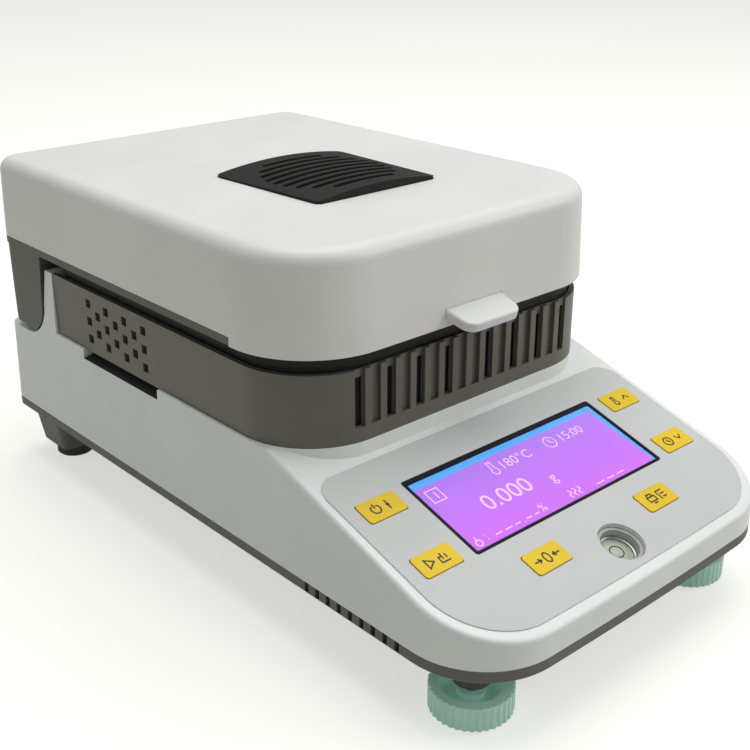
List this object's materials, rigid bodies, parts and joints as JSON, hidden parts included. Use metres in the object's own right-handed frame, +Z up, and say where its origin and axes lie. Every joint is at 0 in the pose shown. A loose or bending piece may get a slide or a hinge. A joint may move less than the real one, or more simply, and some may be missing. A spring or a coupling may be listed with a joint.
{
  "type": "moisture analyzer",
  "caption": "Bench moisture analyzer: weighing base with sloping keypad and display, slotted chamber ring and a hinged heating lid that opens upwards",
  "frame": {"origin": "on the table, under the middle of the object", "axes": "+Z up, +Y towards the rear with the hinge and connectors, +X to the right seen from the front"},
  "size_m": [0.205, 0.373, 0.1797],
  "materials": {
    "housing_white": "fine satin texture",
    "trim_grey": "satin",
    "tray_grey": "satin",
    "rim_black": "satin",
    "steel": "satin",
    "aluminium": "satin",
    "glass_clear": "polished",
    "ceramic_white": "unglazed ceramic",
    "board_green": "solder mask",
    "lcd_dark": "polished",
    "overlay_grey": "fine grain film",
    "key_yellow": "satin",
    "wheel_teal": "translucent",
    "rubber_dark": "matt",
    "brass": "machined",
    "core_iron": "varnished"
  },
  "bodies": {
    "base": {"base_housing": "housing_white", "base_tray": "tray_grey", "cell_adapter": "aluminium", "cell_mount": "tray_grey", "chamber_floor": "steel", "chamber_ring": "trim_grey", "display_window": "glass_clear", "draft_shield": "steel", "heat_sink": "aluminium", "hinge_brackets": "steel", "inlet_pins": "steel", "inner_rim": "rim_black", "key_board": "board_green", "lcd_module": "lcd_dark", "level_cup": "aluminium", "level_vial": "glass_clear", "load_cell": "aluminium", "main_board": "board_green", "panel_overlay": "overlay_grey", "power_inlet": "rim_black", "rear_foot_pads": "rubber_dark", "serial_port": "steel", "switch_domes": "steel", "thread_inserts": "brass", "transformer": "core_iron", "tray_screws": "steel"},
    "lid": {"lid_cover": "housing_white", "lid_liner": "trim_grey", "lid_handle": "housing_white", "lid_grille": "rim_black", "guard_glass": "glass_clear", "reflector": "aluminium", "heater_lamp": "glass_clear", "lamp_sockets": "ceramic_white", "temperature_probe": "steel", "hinge_pins": "steel", "lid_screws": "steel", "reflector_screws": "steel"},
    "weigh_platform": {"sample_pan": "aluminium", "pan_support": "steel"},
    "key_heat": {"key_heat": "key_yellow"},
    "key_power": {"key_power": "key_yellow"},
    "key_print": {"key_print": "key_yellow"},
    "key_tare": {"key_tare": "key_yellow"},
    "key_test": {"key_test": "key_yellow"},
    "key_time": {"key_time": "key_yellow"},
    "foot_left": {"foot_pad_left": "rubber_dark"},
    "wheel_left": {"levelling_wheel_left": "wheel_teal", "levelling_stud_left": "steel"},
    "foot_right": {"foot_pad_right": "rubber_dark"},
    "wheel_right": {"levelling_wheel_right": "wheel_teal", "levelling_stud_right": "steel"}
  },
  "joints": [
    {"name": "lid_hinge", "type": "hinge", "parent": "base", "child": "lid", "pos_m": [0, 0.1605, 0.1022], "axis": [-1, 0, 0], "range_deg": [0, 85]},
    {"name": "weigh_travel", "type": "slide", "parent": "base", "child": "weigh_platform", "axis": [0, 0, -1], "range_m": [0, 0.0005], "stiffness_N_per_m": 5000},
    {"name": "key_heat_press", "type": "slide", "parent": "base", "child": "key_heat", "axis": [0, 0.3007, -0.9537], "range_m": [0, 0.0005], "stiffness_N_per_m": 600},
    {"name": "key_power_press", "type": "slide", "parent": "base", "child": "key_power", "axis": [0, 0.3007, -0.9537], "range_m": [0, 0.0005], "stiffness_N_per_m": 600},
    {"name": "key_print_press", "type": "slide", "parent": "base", "child": "key_print", "axis": [0, 0.3007, -0.9537], "range_m": [0, 0.0005], "stiffness_N_per_m": 600},
    {"name": "key_tare_press", "type": "slide", "parent": "base", "child": "key_tare", "axis": [0, 0.3007, -0.9537], "range_m": [0, 0.0005], "stiffness_N_per_m": 600},
    {"name": "key_test_press", "type": "slide", "parent": "base", "child": "key_test", "axis": [0, 0.3007, -0.9537], "range_m": [0, 0.0005], "stiffness_N_per_m": 600},
    {"name": "key_time_press", "type": "slide", "parent": "base", "child": "key_time", "axis": [0, 0.3007, -0.9537], "range_m": [0, 0.0005], "stiffness_N_per_m": 600},
    {"name": "foot_left_height", "type": "slide", "parent": "base", "child": "foot_left", "axis": [0, 0, 1], "range_m": [-0.003, 0.003]},
    {"name": "wheel_left_turn", "type": "hinge", "parent": "foot_left", "child": "wheel_left", "pos_m": [-0.0753, -0.1547, 0], "axis": [0, 0, 1], "range_deg": [-1080, 1080]},
    {"name": "foot_right_height", "type": "slide", "parent": "base", "child": "foot_right", "axis": [0, 0, 1], "range_m": [-0.003, 0.003]},
    {"name": "wheel_right_turn", "type": "hinge", "parent": "foot_right", "child": "wheel_right", "pos_m": [0.0753, -0.1547, 0], "axis": [0, 0, 1], "range_deg": [-1080, 1080]}
  ],
  "couplings": [
    {"joint": "foot_left_height", "follows": "wheel_left_turn", "m_per_rad": 0.00015915},
    {"joint": "foot_right_height", "follows": "wheel_right_turn", "m_per_rad": 0.00015915}
  ]
}
